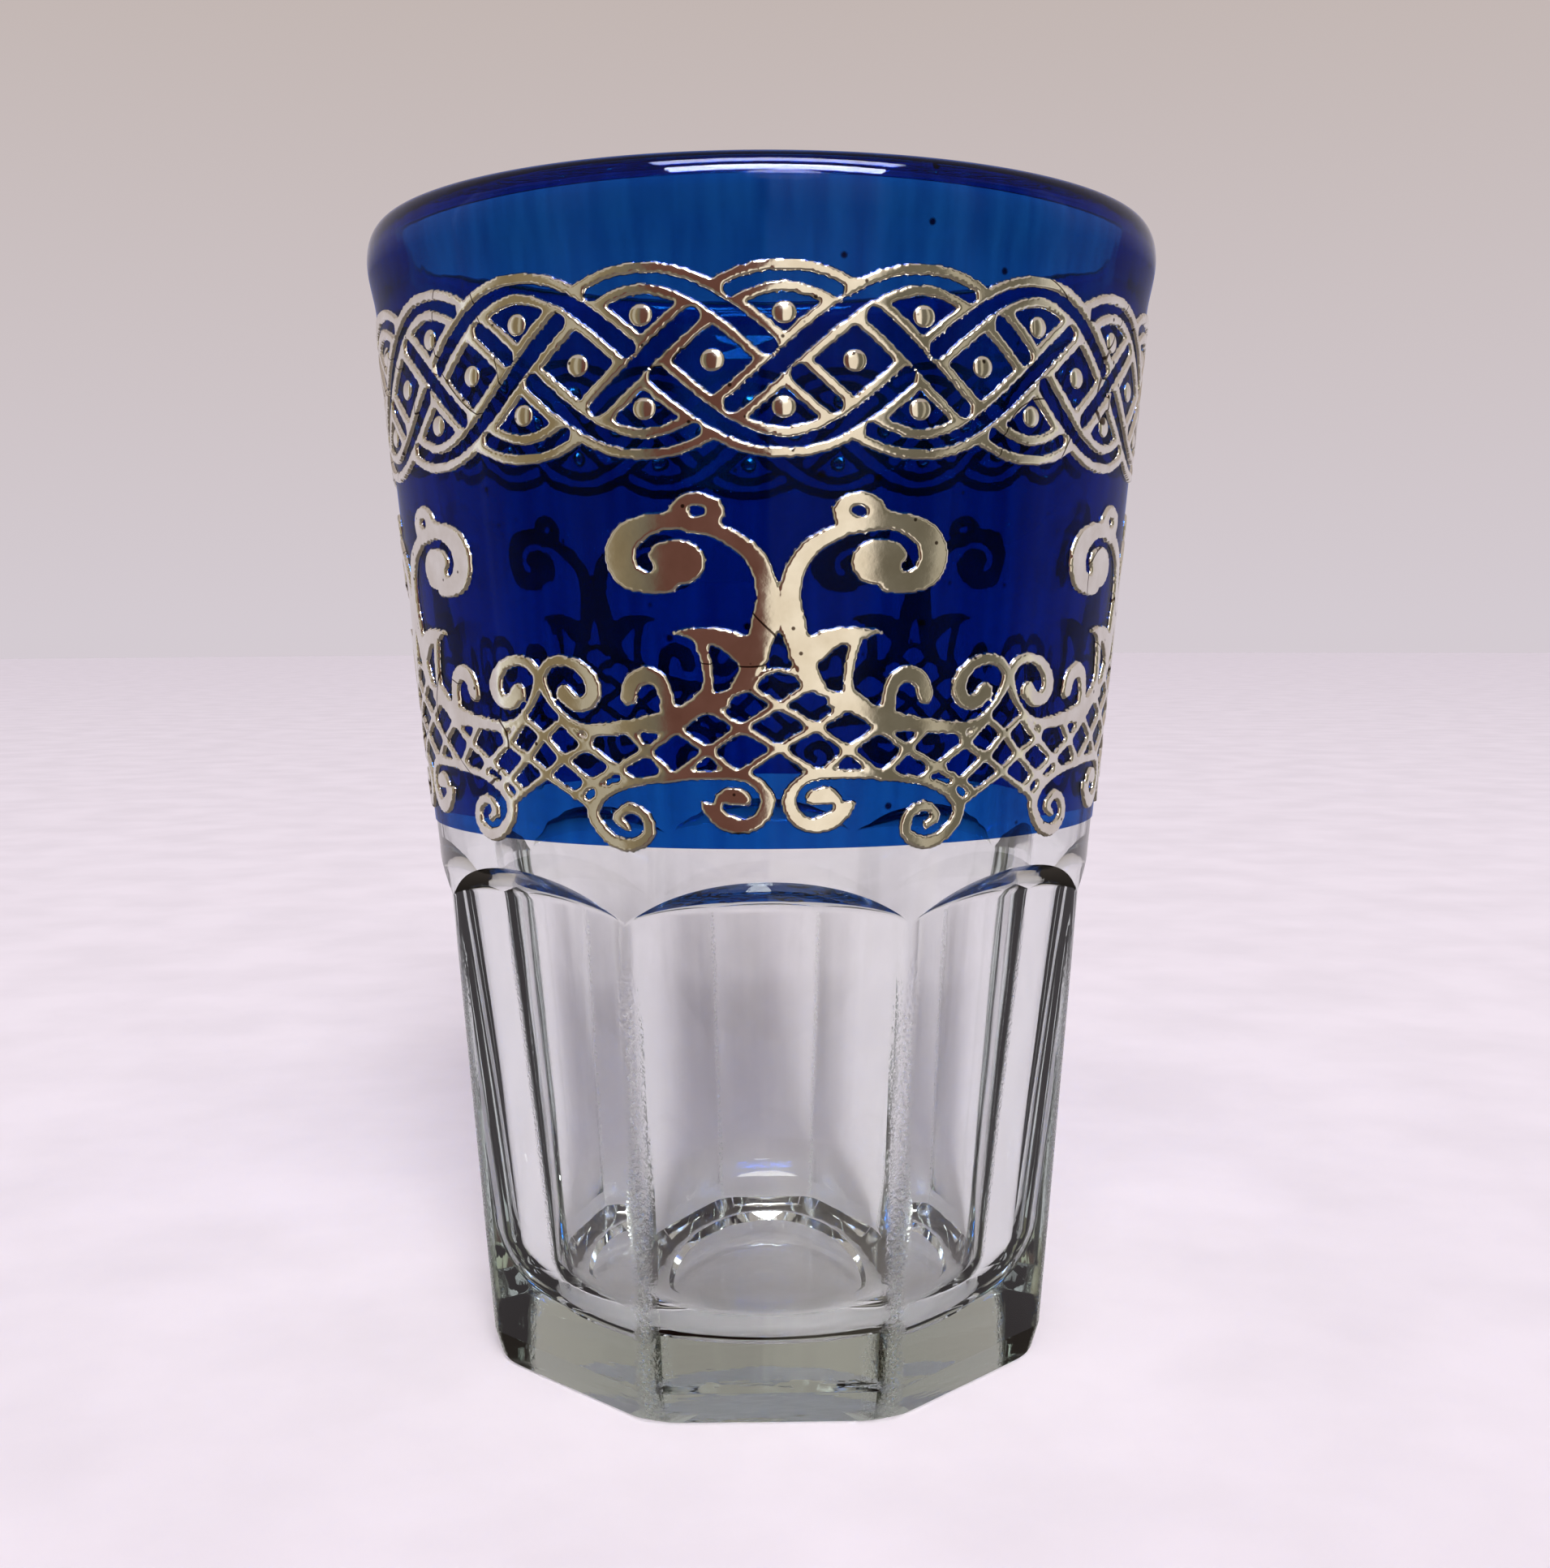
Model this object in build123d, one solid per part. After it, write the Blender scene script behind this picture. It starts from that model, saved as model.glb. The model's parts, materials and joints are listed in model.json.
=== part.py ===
from build123d import *
import os
from math import cos, hypot, pi, radians, sin, sqrt

# Moroccan tea glass, in millimetres, +Z up, origin at the centre of the base on the table.
# Angles run round the glass in degrees, from its front (-Y) towards its right side (+X).

# Glass, outside
glass_height = 94.9
rim_radius = 33.3
rim_drop = 2.5
rim_flare = 0.7
flare_drop = 6.9
waist_share = 0.4594
waist_taper = 4.25
base_taper = 3.5
heel_height = 2.6
heel_depth = 0.45

# Glass, inside and underside
lip_wall = 2.7
foot_wall = 5.35
floor_height = 4.8
floor_corner = 4.5
disc_inset = 1.6
disc_depth = 0.6
recess_land = 9.85
recess_depth = 0.35

# Glass, flat cuts of the lower part
facet_count = 8
ridge_width = 1.2
arch_drop = 0.1
cove_rise = 4.2
cove_sweep = 75

# Coat
coat_lift = 2.4
coat_thickness = 0.1

# Metal relief on the coat
relief = 0.25

# Braid band
braid_drop = 14.22
braid_turn = 2.07
strand_count = 4
strand_waves = 5
strand_swing = 5.65
strand_width = 2.25
strand_swell = 0.65
crest_trim = 0.02
dot_width = 1.62
dot_length = 1.5
dot_offset = 3.2
dot_sides = 6

# Scroll band, drawn for one height and set to the space between the coat's edge and the braid
scroll_turn = 1.4
repeat_count = 5
panel_count = 40
lattice_width = 0.55
scroll_drawn = 25.85
scroll_gap = 2.15
scroll_overhang = 1.0

# Heights and radii that follow
total_height = glass_height + coat_thickness
rim_height = glass_height - rim_drop
flare_height = glass_height - flare_drop
waist_height = glass_height * waist_share
arch_height = waist_height - arch_drop
cove_height = arch_height - cove_rise
coat_edge_height = waist_height + coat_lift
braid_height = total_height - braid_drop
braid_reach = strand_swing + strand_width / 2
scroll_scale = (braid_height - braid_reach - scroll_gap - coat_edge_height) / scroll_drawn
width_scale = min(scroll_scale, sqrt(scroll_scale))
flare_radius = rim_radius - rim_flare
waist_radius = flare_radius - waist_taper
base_radius = waist_radius - base_taper
bore_foot_radius = base_radius - foot_wall
floor_radius = bore_foot_radius - floor_corner
disc_radius = floor_radius - disc_inset
recess_radius = base_radius - recess_land
strand_step = 360 / (strand_waves * strand_count)
half_repeat = 180 / repeat_count


def outer_radius(z):
    """Radius of the bare glass at height z, on the two cones that meet at the waist."""
    if z < waist_height:
        return base_radius + (waist_radius - base_radius) * z / waist_height
    return waist_radius + (flare_radius - waist_radius) * (z - waist_height) / (flare_height - waist_height)


def face_radius(z):
    """Radius of the face of the coat, which carries the metal."""
    return outer_radius(z) + coat_thickness


def lip_line(skin, start_height):
    """Outside line of the glass from a height on the upper cone to the crest of the lip, under a skin."""
    start = (outer_radius(start_height) + skin, start_height)
    flare = (flare_radius + skin, flare_height)
    crest = (rim_radius - lip_wall / 2, glass_height + skin)
    cone_run = (flare_radius - waist_radius, flare_height - waist_height)
    cone = Line(start, flare)
    lip = Spline(flare, (rim_radius + skin, rim_height), crest, tangents=[cone_run, (-1, 0)])
    return cone, lip


def facet_cutter():
    """Prism that cuts one flat, with a cove at its top that leaves an arch on the round wall."""

    def flat_reach(z):
        ridge_angle = ridge_width / 2 / outer_radius(z)
        return outer_radius(z) * cos(pi / facet_count - ridge_angle)

    foot = (flat_reach(0) - heel_depth, 0)
    heel = (flat_reach(heel_height), heel_height)
    cove = (flat_reach(cove_height), cove_height)
    run = (cove[0] - heel[0], cove[1] - heel[1])
    out = (run[1] / hypot(*run), -run[0] / hypot(*run))
    chord = (outer_radius(arch_height) - cove[0], arch_height - cove[1])
    cove_radius = hypot(*chord) ** 2 / (2 * (chord[0] * out[0] + chord[1] * out[1]))
    sweep = JernArc(cove, run, cove_radius, -cove_sweep)
    far = waist_radius + rim_radius
    section = [
        Line((foot[0], -heel_height), foot),
        Line(foot, heel),
        Line(heel, cove),
        sweep,
        Line(sweep @ 1, (far, (sweep @ 1).Y)),
        Line((far, (sweep @ 1).Y), (far, -heel_height)),
        Line((far, -heel_height), (foot[0], -heel_height)),
    ]
    return extrude(Plane.XZ * make_face(section), amount=waist_radius, both=True)


def make_glass_body():
    """Pressed glass: a turned blank with eight flat cuts, a tapered bore with a sunk disc, a recess below."""
    cone, lip = lip_line(0, waist_height)
    heel = (outer_radius(heel_height), heel_height)
    foot = (base_radius - heel_depth, 0)
    mouth = (rim_radius - lip_wall, rim_height)
    bore_foot = (bore_foot_radius, floor_height + floor_corner)
    down = (bore_foot[0] - mouth[0], bore_foot[1] - mouth[1])
    floor_edge = (floor_radius, floor_height)
    disc_height = floor_height - disc_depth
    disc_edge = (disc_radius - disc_depth, disc_height)
    disc_rim = (disc_radius, floor_height)
    dome_radius = (recess_radius ** 2 + recess_depth ** 2) / (2 * recess_depth)
    recess_mid = (recess_radius / 2, recess_depth - dome_radius + sqrt(dome_radius ** 2 - recess_radius ** 2 / 4))
    outline = [
        Line((0, recess_depth), (0, disc_height)),
        Line((0, disc_height), disc_edge),
        Line(disc_edge, disc_rim),
        Line(disc_rim, floor_edge),
        Spline(floor_edge, bore_foot, tangents=[(1, 0), (-down[0], -down[1])]),
        Line(bore_foot, mouth),
        Spline(mouth, lip @ 1, tangents=[(-down[0], -down[1]), (1, 0)]),
        lip,
        cone,
        Line(cone @ 0, heel),
        Line(heel, foot),
        Line(foot, (recess_radius, 0)),
        ThreePointArc((recess_radius, 0), recess_mid, (0, recess_depth)),
    ]
    blank = revolve(Plane.XZ * make_face(outline), Axis.Z)
    cutter = facet_cutter()
    for i in range(facet_count):
        blank -= Rot(0, 0, 360 / facet_count * i) * cutter
    return blank


def make_blue_coat():
    """Thin coat on the outside of the glass, from its straight lower edge to the crest of the lip."""
    inner_cone, inner_lip = lip_line(0, coat_edge_height)
    outer_cone, outer_lip = lip_line(coat_thickness, coat_edge_height)
    outline = [
        inner_cone,
        inner_lip,
        Line(inner_lip @ 1, outer_lip @ 1),
        outer_lip,
        outer_cone,
        Line(outer_cone @ 0, inner_cone @ 0),
    ]
    return revolve(Plane.XZ * make_face(outline), Axis.Z)


def relief_ring(low, high):
    """Layer of metal round the coat between two heights, in flat panels that each lie on the coat."""

    def cone(thickness):
        foot = RegularPolygon(face_radius(low) + thickness, panel_count, major_radius=False)
        head = RegularPolygon(face_radius(high) + thickness, panel_count, major_radius=False)
        return loft([Pos(0, 0, low) * foot, Pos(0, 0, high) * head], ruled=True)

    return cone(relief) - cone(0)


def drawing_plane(angle):
    """Upright plane through the axis that faces outward at an angle round the glass."""
    turn = radians(angle)
    return Plane((0, 0, 0), x_dir=(cos(turn), sin(turn), 0), z_dir=(sin(turn), -cos(turn), 0))


def on_plane(angle, height, middle):
    """Where a point of the wall lies on the drawing plane that faces the middle angle."""
    return (face_radius(height) * sin(radians(angle - middle)), height)


def punch(drawing, middle):
    """Prism of a drawing, outward from inside the wall through the metal."""
    start = drawing_plane(middle).offset(bore_foot_radius)
    return extrude(start * drawing, amount=rim_radius + relief - bore_foot_radius + coat_thickness)


def side_points(points, widths, side):
    """Points set off to one side of a line by half its width."""
    result = []
    for i, point in enumerate(points):
        before = points[max(i - 1, 0)]
        after = points[min(i + 1, len(points) - 1)]
        run = (after[0] - before[0], after[1] - before[1])
        shift = side * widths[i] / 2 / hypot(*run)
        result.append((point[0] - run[1] * shift, point[1] + run[0] * shift))
    return result


def make_braid_band():
    """Four wavy strands plaited round the glass, as one metal layer with a window in every gap."""
    middle = strand_step / 4
    samples = [strand_step * (k / 4 - 1.5) for k in range(15)]
    strands = Sketch()
    for i in range(strand_count):
        line = []
        widths = []
        for angle in samples:
            phase = radians(strand_waves * (angle - strand_step * i))
            line.append(on_plane(angle, braid_height + strand_swing * cos(phase), middle))
            widths.append(strand_width + strand_swell * abs(sin(phase)))
        outline = side_points(line, widths, 1) + side_points(line, widths, -1)[::-1]
        strands += make_face(Polyline(*outline, close=True))

    def gaps(start, end, low, high):
        corners = [on_plane(a, z, middle) for a, z in ((start, low), (end, low), (end, high), (start, high))]
        return (make_face(Polyline(*corners, close=True)) - strands).faces()

    low, high = braid_height - braid_reach, braid_height + braid_reach
    inner_low, inner_high = braid_height - strand_swing, braid_height + strand_swing
    right_end = on_plane(strand_step / 2, braid_height, middle)[0] + strand_width / 2
    left_end = on_plane(0, braid_height, middle)[0] - strand_width / 2
    windows = [
        face
        for face in gaps(-strand_step, strand_step * 1.5, inner_low, inner_high)
        if left_end < face.center().X < right_end
    ]
    notches = gaps(0, strand_step, braid_height, high + relief).sort_by(Axis.Y)[-1:]
    notches += gaps(0, strand_step, low - relief, braid_height).sort_by(Axis.Y)[:1]
    tools = [punch(face, middle) for face in windows + notches]
    ring = relief_ring(low + crest_trim, high - crest_trim)
    turns = [Rot(0, 0, strand_step * i) for i in range(strand_waves * strand_count)]
    return Rot(0, 0, braid_turn) * (ring - [turn * tool for turn in turns for tool in tools])


def make_braid_dots():
    """One raised dot in each window of the braid."""
    ring = relief_ring(braid_height - strand_swing, braid_height + strand_swing)
    spots = [(0, dot_offset), (0, -dot_offset), (strand_step / 2, 0)]
    dots = []
    for angle, rise in spots:
        dot = scale(RegularPolygon(1, dot_sides), (dot_width / 2, dot_length / 2, 1))
        dots.append(ring & punch(Pos(0, braid_height + rise) * dot, angle))
    turns = [Rot(0, 0, braid_turn + strand_step * i) for i in range(strand_waves * strand_count)]
    return Compound([turn * dot for turn in turns for dot in dots])


def scroll_point(angle, rise):
    """Where a point of the scroll drawing lies on the plane of half a repeat."""
    return on_plane(angle, coat_edge_height + rise * scroll_scale, half_repeat / 2)


def ribbon(stations):
    """Ribbon of changing width with blunt tips, drawn on the plane of half a repeat."""
    points = [scroll_point(angle, rise) for angle, rise, _ in stations]
    widths = [width * width_scale for _, _, width in stations]
    outline = side_points(points, widths, 1) + side_points(points, widths, -1)[::-1]
    return make_face(Polyline(*outline, close=True))


def bar(*nodes):
    """Straight lattice bar through its nodes."""
    return ribbon([(angle, rise, lattice_width) for angle, rise in nodes])


def oval(angle, rise, width, height, sides):
    """Many-sided oval on the plane of half a repeat."""
    size = (width_scale * width / 2, scroll_scale * height / 2, 1)
    return Pos(*scroll_point(angle, rise)) * scale(RegularPolygon(1, sides), size)


def make_scroll_band():
    """Lyres, scrolls and lattice in equal repeats, each made of a half and its mirror image."""
    # Stations are the angle from the axis of the repeat, the rise above the coat's edge and the width.
    lyre = [(5.6, 11.7, 1.4), (2.8, 15.0, 2.1), (1.2, 17.8, 1.8), (2.8, 21.0, 1.4), (8.0, 23.2, 1.0),
            (18.0, 23.5, 1.6), (21.8, 21.2, 2.3), (18.9, 19.4, 1.8), (14.8, 19.6, 1.7)]
    leaf = [(3.4, 15.2, 1.7), (10.0, 15.6, 1.1), (14.4, 15.7, 0.2)]
    leaf_bar = [(10.2, 15.2, 0.9), (9.8, 12.6, 0.8), (10.6, 10.9, 1.3)]
    hook = [(13.0, 9.9, 1.2), (15.9, 10.8, 1.4), (17.3, 12.5, 1.3), (19.9, 12.6, 1.4), (21.3, 10.7, 1.6)]
    top_rail = [(5.6, 11.7, 1.4), (10.0, 10.5, 1.3), (18.0, 9.3, 1.5), (28.5, 8.8, 0.85), (33.2, 10.0, 0.7),
                (36.4, 12.6, 1.2)]
    curl = [(36.4, 12.3, 1.2), (33.4, 13.7, 0.95), (29.6, 13.5, 1.1), (27.1, 11.8, 1.6), (29.0, 10.9, 1.8),
            (32.4, 11.7, 1.2)]
    centre_scroll = [(16.0, 5.2, 0.75), (5.0, 5.35, 0.9), (1.5, 3.9, 1.1), (3.2, 2.1, 1.15), (7.0, 2.0, 1.4),
                     (9.2, 3.2, 1.7), (4.9, 3.9, 1.1)]
    side_scroll = [(14.0, 5.4, 0.75), (23.0, 4.6, 0.85), (27.8, 3.0, 1.15), (26.6, 1.1, 1.15), (22.5, 0.15, 1.15),
                   (19.0, 1.4, 1.1), (21.0, 2.9, 0.95), (24.2, 2.1, 0.9), (22.2, 1.6, 0.6)]
    foot_rail = [(28.0, 2.8, 0.7), (36.5, 5.2, 0.6)]
    ribbons = [lyre, leaf, leaf_bar, hook, top_rail, curl, centre_scroll, side_scroll, foot_rail]

    # Lattice bars, by the angle and rise of their ends.
    bars = [
        bar((-1.0, 10.85), (14.2, 5.6)),
        bar((-1.0, 7.1), (9.5, 10.3)),
        bar((14.5, 8.8), (28.5, 4.5)),
        bar((25.5, 4.3), (37.0, 8.5)),
    ]
    head = oval(13.3, 20.8, 4.2, 3.4, 8)
    eyelet = oval(10.8, 24.3, 4.0, 3.1, 8) - oval(10.8, 24.4, 1.2, 0.84, 4)
    drawing = Sketch() + [ribbon(stations) for stations in ribbons] + bars + [head, eyelet]
    wedge = extrude(make_face(Polyline(
        (0, 0), (0, -2 * rim_radius),
        (2 * rim_radius * sin(radians(half_repeat)), -2 * rim_radius * cos(radians(half_repeat))),
        close=True,
    )), amount=total_height)
    ring = relief_ring(coat_edge_height - scroll_overhang, braid_height - braid_reach)
    half = ring & wedge & punch(drawing, half_repeat / 2)
    repeat = [half, mirror(half, Plane.YZ)]
    turns = [Rot(0, 0, scroll_turn + 360 / repeat_count * i) for i in range(repeat_count)]
    halves = [turn * side for turn in turns for side in repeat]
    return halves[0].fuse(*halves[1:])


if __name__ == "__main__":
    os.makedirs("parts", exist_ok=True)
    export_step(make_glass_body(), "parts/glass_body.step")
    export_step(make_blue_coat(), "parts/blue_coat.step")
    export_step(make_braid_band(), "parts/braid_band.step")
    export_step(make_braid_dots(), "parts/braid_dots.step")
    export_step(make_scroll_band(), "parts/scroll_band.step")
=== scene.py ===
import json
import math

import bpy
import numpy as np
from mathutils import Matrix, noise

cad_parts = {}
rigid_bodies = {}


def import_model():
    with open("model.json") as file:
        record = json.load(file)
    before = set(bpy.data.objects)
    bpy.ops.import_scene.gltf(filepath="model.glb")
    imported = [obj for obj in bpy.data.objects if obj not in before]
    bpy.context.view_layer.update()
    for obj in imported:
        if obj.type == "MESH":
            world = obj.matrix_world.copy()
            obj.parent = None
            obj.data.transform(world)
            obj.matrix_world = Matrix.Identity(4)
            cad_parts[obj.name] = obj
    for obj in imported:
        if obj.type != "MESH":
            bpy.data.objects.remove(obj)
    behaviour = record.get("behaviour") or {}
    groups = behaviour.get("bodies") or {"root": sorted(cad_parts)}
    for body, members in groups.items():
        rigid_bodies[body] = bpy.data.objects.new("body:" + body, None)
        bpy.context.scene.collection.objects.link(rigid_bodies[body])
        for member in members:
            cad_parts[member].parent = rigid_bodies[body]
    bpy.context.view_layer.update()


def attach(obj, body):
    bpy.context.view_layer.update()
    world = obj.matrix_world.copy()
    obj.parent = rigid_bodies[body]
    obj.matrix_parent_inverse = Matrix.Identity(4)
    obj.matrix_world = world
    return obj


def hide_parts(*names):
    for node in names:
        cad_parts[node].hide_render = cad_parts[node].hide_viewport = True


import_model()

scene = bpy.context.scene
scene.view_settings.view_transform = "Standard"
bpy.ops.object.select_all(action="DESELECT")

# Camera at the photograph's viewing angle: close in front of the glass, at two thirds of its height and
# looking slightly down, so that the far rim stands lower in the picture than the near one.
camera_place = (-0.00181, -0.16149, 0.06226)
camera_pitch = math.radians(-4.94)
camera_roll = math.radians(0.226)
camera_turn = math.radians(-1.0)
camera_turned = (math.pi / 2 + camera_pitch, camera_roll, camera_turn)
bpy.ops.object.camera_add(location=camera_place, rotation=camera_turned)
camera = bpy.context.object
camera.data.sensor_width = 36
camera.data.lens = 42.0
camera.data.clip_start = 0.01
scene.camera = camera

# Floor of pale lilac-grey paper, a little mottled. The glass stands on it, and it is no part of the object.
# Mirrored rays pass it by, so that the metal keeps the darker tone that the backdrop has below.
floor_radius, floor_drop = 4.0, 0.0003
stage_sides = 96
bpy.ops.mesh.primitive_circle_add(
    vertices=stage_sides, radius=floor_radius, fill_type="NGON", location=(0, 0, -floor_drop),
)
floor = bpy.context.object
floor.name = "floor"
paper = bpy.data.materials.new("pale_paper")
paper.use_nodes = True
nodes, links = paper.node_tree.nodes, paper.node_tree.links
shader = nodes["Principled BSDF"]
shader.inputs["Roughness"].default_value = 0.9
shader.inputs["Specular IOR Level"].default_value = 0.1
place = nodes.new("ShaderNodeTexCoord")
mottle = nodes.new("ShaderNodeTexNoise")
mottle.inputs["Scale"].default_value = 45
mottle.inputs["Detail"].default_value = 4
tint = nodes.new("ShaderNodeValToRGB")
tint.color_ramp.elements[0].position = 0.35
tint.color_ramp.elements[0].color = (0.84, 0.765, 0.83, 1)
tint.color_ramp.elements[1].position = 0.65
tint.color_ramp.elements[1].color = (0.90, 0.82, 0.89, 1)
links.new(place.outputs["Object"], mottle.inputs["Vector"])
links.new(mottle.outputs["Fac"], tint.inputs["Fac"])
links.new(tint.outputs["Color"], shader.inputs["Base Color"])
floor.data.materials.append(paper)
floor.visible_glossy = False

# Soft studio light: a broad sun-like lamp from the front right, a strip lamp overhead and a pale backdrop.
# Two wide lamps show only as gloss on the coat and the glass, for the highlights along the lip. A dim screen
# with a brown and a cream panel stands on the camera's side for the metal and the glass to mirror.
sun_tilt, sun_turn = math.radians(60), math.radians(6)
bpy.ops.object.light_add(type="SUN", rotation=(sun_tilt, 0, sun_turn))
sun = bpy.context.object
sun.data.energy = 2.4
sun.data.angle = math.radians(20)
strip_place = (0.10, -1.1, 1.3)
strip_tilt, strip_turn = math.radians(40), math.radians(5)
bpy.ops.object.light_add(type="AREA", location=strip_place, rotation=(strip_tilt, 0, strip_turn))
strip = bpy.context.object
strip.data.shape = "RECTANGLE"
strip.data.size = 0.9
strip.data.size_y = 0.10
strip.data.energy = 9.0
window_distance, window_side = 0.8, 0.05
lip_height = 0.095
for rise_angle, power, lit in ((44, 30.0, "lip_lit"), (64, 14.0, "window_lit")):
    tilt = math.radians(rise_angle)
    window_front = -window_distance * math.cos(tilt)
    window_height = lip_height + window_distance * math.sin(tilt)
    bpy.ops.object.light_add(
        type="AREA", location=(window_side, window_front, window_height),
        rotation=(math.pi / 2 - tilt, 0, 0),
    )
    window = bpy.context.object
    window.data.shape = "RECTANGLE"
    window.data.size = 0.75
    window.data.size_y = 0.16
    window.data.energy = power
    window.visible_diffuse = False
    window.light_linking.receiver_collection = bpy.data.collections.new(lit)
world = bpy.data.worlds.new("studio")
scene.world = world
world.use_nodes = True
nodes, links = world.node_tree.nodes, world.node_tree.links
fill = nodes["Background"]
fill.inputs["Color"].default_value = (0.42, 0.40, 0.42, 1)
backdrop = nodes.new("ShaderNodeBackground")
direction = nodes.new("ShaderNodeTexCoord")
split = nodes.new("ShaderNodeSeparateXYZ")
rise = nodes.new("ShaderNodeMapRange")
rise.inputs["From Min"].default_value = -0.75
rise.inputs["From Max"].default_value = 0.35
sky = nodes.new("ShaderNodeValToRGB")
sky.color_ramp.elements[0].position = 0.20
sky.color_ramp.elements[0].color = (0.18, 0.15, 0.13, 1)
for height_share in (0.36, 0.68):
    horizon = sky.color_ramp.elements.new(height_share)
    horizon.color = (0.66, 0.60, 0.645, 1)
sky.color_ramp.elements[-1].color = (0.53, 0.455, 0.425, 1)
path = nodes.new("ShaderNodeLightPath")
mirrored = nodes.new("ShaderNodeMath")
mirrored.operation = "MAXIMUM"
shown = nodes.new("ShaderNodeMath")
shown.operation = "MAXIMUM"
choose = nodes.new("ShaderNodeMixShader")
links.new(direction.outputs["Generated"], split.inputs["Vector"])
links.new(split.outputs["Z"], rise.inputs["Value"])
links.new(rise.outputs["Result"], sky.inputs["Fac"])
links.new(sky.outputs["Color"], backdrop.inputs["Color"])
links.new(path.outputs["Is Glossy Ray"], mirrored.inputs[0])
links.new(path.outputs["Is Transmission Ray"], mirrored.inputs[1])
links.new(path.outputs["Is Camera Ray"], shown.inputs[0])
links.new(mirrored.outputs["Value"], shown.inputs[1])
links.new(shown.outputs["Value"], choose.inputs["Fac"])
links.new(fill.outputs["Background"], choose.inputs[1])
links.new(backdrop.outputs["Background"], choose.inputs[2])
links.new(choose.outputs["Shader"], nodes["World Output"].inputs["Surface"])

screen_radius, screen_height, screen_middle = 0.6, 0.8, 0.05
screen_back = 0.02
bpy.ops.mesh.primitive_cylinder_add(
    vertices=stage_sides, radius=screen_radius, depth=screen_height, end_fill_type="NOTHING",
    location=(0, 0, screen_middle),
)
screen = bpy.context.object
screen.name = "screen"
bpy.ops.object.mode_set(mode="EDIT")
bpy.ops.mesh.select_all(action="SELECT")
bpy.ops.mesh.bisect(plane_co=(0, screen_back, 0), plane_no=(0, 1, 0), clear_outer=True)
bpy.ops.object.mode_set(mode="OBJECT")
panels = bpy.data.materials.new("screen_panels")
panels.use_nodes = True
nodes, links = panels.node_tree.nodes, panels.node_tree.links
nodes.remove(nodes["Principled BSDF"])
glow = nodes.new("ShaderNodeEmission")
place = nodes.new("ShaderNodeTexCoord")
compass = nodes.new("ShaderNodeTexGradient")
compass.gradient_type = "RADIAL"
tones = nodes.new("ShaderNodeValToRGB")
gold, olive = (0.27, 0.21, 0.12, 1), (0.17, 0.15, 0.11, 1)
straw, pale = (0.48, 0.43, 0.33, 1), (0.78, 0.73, 0.62, 1)
brown, cream = (0.15, 0.065, 0.05, 1), (1.0, 0.88, 0.72, 1)
panel_edges = [
    (0.00, pale), (0.04, gold), (0.08, gold), (0.09, straw), (0.115, straw), (0.125, gold),
    (0.155, olive), (0.166, brown), (0.250, brown), (0.254, cream), (0.33, cream), (0.345, olive),
    (0.385, olive), (0.395, straw), (0.41, straw), (0.42, olive), (0.46, olive), (0.50, pale),
]
for i, (position, panel_tone) in enumerate(panel_edges):
    stop = tones.color_ramp.elements[0] if i == 0 else tones.color_ramp.elements.new(position)
    stop.position = position
    stop.color = panel_tone
links.new(place.outputs["Object"], compass.inputs["Vector"])
links.new(compass.outputs["Fac"], tones.inputs["Fac"])
links.new(tones.outputs["Color"], glow.inputs["Color"])
links.new(glow.outputs["Emission"], nodes["Material Output"].inputs["Surface"])
screen.data.materials.append(panels)
screen.visible_camera = False
screen.visible_diffuse = False
screen.visible_shadow = False

# Glass body: a thick pressed tea glass of clear soda glass, eight flat cuts below with a coved arch over
# each, a round flared wall above and a fire-polished lip. It is turned from one outline and then cut flat.
# Clear soda glass tints grey-green where it is thick, and the ridges between the cuts are worn to a frost.
glass_height = 0.0949
rim_radius, rim_height = 0.0333, 0.0924
flare_radius, flare_height = 0.0326, 0.0880
waist_radius, waist_height = 0.02835, 0.0436
base_radius = 0.02485
heel_height, heel_depth = 0.0026, 0.00045
foot_round, foot_sweep = 0.0005, math.pi / 2 - 0.15
lip_wall = 0.0027
bore_foot_radius = 0.0195
floor_height, floor_corner = 0.0048, 0.0060
disc_radius, disc_depth = 0.0134, 0.0006
recess_radius, recess_depth = 0.0190, 0.00012
facet_count = 8
ridge_width = 0.0012
edge_softness = 0.00009
arch_height, arch_radius = 0.0435, 0.0180
arch_low, arch_high = 0.0360, 0.0455
cove_share = 1.35
blend_heights = [0.0441, 0.0448]
bottom_rings = [0.010, 0.006, 0.003, 0]
edge_row, wall_margin = 0.00006, 0.001
glass_turns, lip_rows = 512, 16
crease_angle = math.radians(40)
bore_share = 0.93
scuff_full, scuff_fall = 1.5, 1.6
scuff_top, scuff_fade = arch_low + 0.002, 0.004


def cone_radius(z):
    """Radius of the bare glass at heights z, on the two cones that meet at the waist."""
    lower = base_radius + (waist_radius - base_radius) * z / waist_height
    upper_slope = (flare_radius - waist_radius) / (flare_height - waist_height)
    upper = waist_radius + upper_slope * (z - waist_height)
    return np.where(z < waist_height, lower, upper)


def lip_line(skin, rows):
    """Outside of the flare and lip, up to the crest, under a skin of that thickness."""
    t = np.linspace(0, 1, rows)
    slope = (flare_radius - waist_radius) / (flare_height - waist_height) * (rim_height - flare_height)
    ease = 3 * t**2 - 2 * t**3
    flare = (1 - ease) * flare_radius + (t**3 - 2 * t**2 + t) * slope + ease * rim_radius
    heights = flare_height + (rim_height - flare_height) * t
    turn = t[1:] * math.pi / 2
    roll = rim_radius - lip_wall / 2 + (lip_wall / 2 + skin) * np.cos(turn)
    top = rim_height + (glass_height + skin - rim_height) * np.sin(turn)
    return list(zip(flare + skin, heights)) + list(zip(roll, top))


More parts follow.
